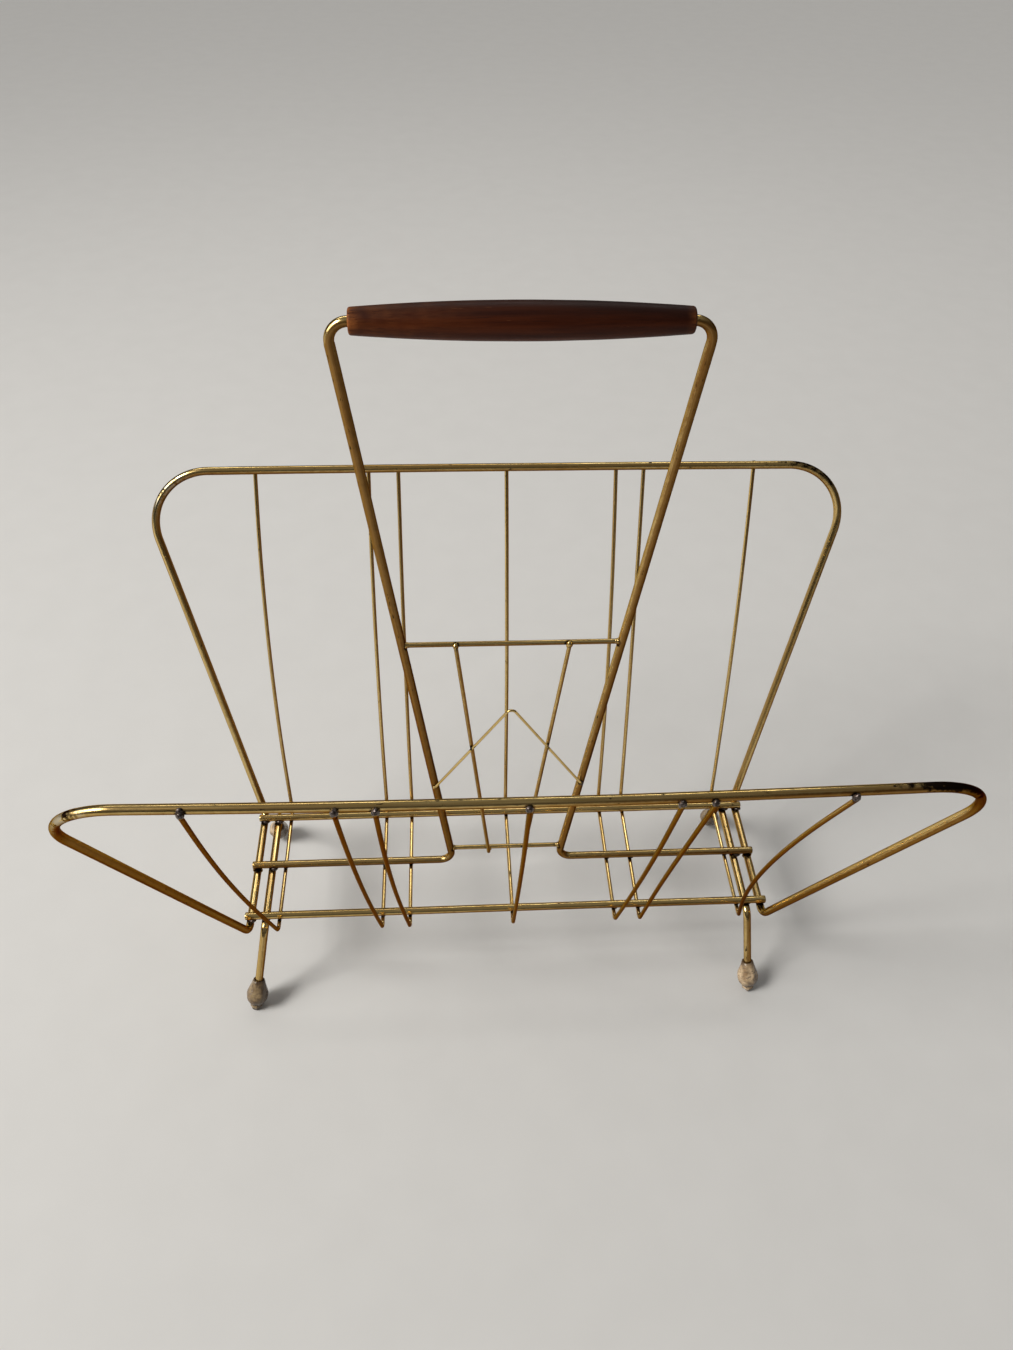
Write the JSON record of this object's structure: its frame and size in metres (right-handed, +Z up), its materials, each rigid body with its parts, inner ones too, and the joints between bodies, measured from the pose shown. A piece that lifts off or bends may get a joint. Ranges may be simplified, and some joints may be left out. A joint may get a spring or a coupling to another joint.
{
  "type": "magazine rack",
  "caption": "Brass wire magazine rack: two panels leaning out from a narrow base on acorn feet, with a tall handle rod, turned wooden grip and low divider.",
  "frame": {"origin": "on the floor, under the middle of the rack's box", "axes": "+X to the right along the top rails and the grip, +Y to the back panel, +Z up"},
  "size_m": [0.4402, 0.2737, 0.4566],
  "materials": {
    "brass": "aged brass plating, satin, tarnished brown",
    "brass_wire": "aged brass plating, satin",
    "grip_wood": "dark red-brown stained wood, low gloss, worn paler at the ends",
    "foot": "aged cream plastic, dirty, satin"
  },
  "bodies": {
    "frame": {"front_frame_rod": "brass", "back_frame_rod": "brass", "leg_rod_left": "brass", "leg_rod_right": "brass", "foot_front_left": "foot", "foot_front_right": "foot", "foot_rear_left": "foot", "foot_rear_right": "foot", "front_floor_bar": "brass", "rear_floor_bar": "brass", "basket_wire_1": "brass_wire", "basket_wire_2": "brass_wire", "basket_wire_3": "brass_wire", "basket_wire_4": "brass_wire", "basket_wire_5": "brass_wire", "basket_wire_6": "brass_wire", "basket_wire_7": "brass_wire", "handle_rod": "brass", "divider_top_bar": "brass_wire", "divider_bottom_bar": "brass_wire", "divider_wire_left": "brass_wire", "divider_wire_right": "brass_wire", "divider_chevron": "brass_wire"},
    "grip": {"grip": "grip_wood"}
  },
  "joints": [
    {"name": "grip_spin", "type": "hinge", "parent": "frame", "child": "grip", "pos_m": [0, 0.011, 0.448], "axis": [1, 0, 0], "continuous": true}
  ]
}
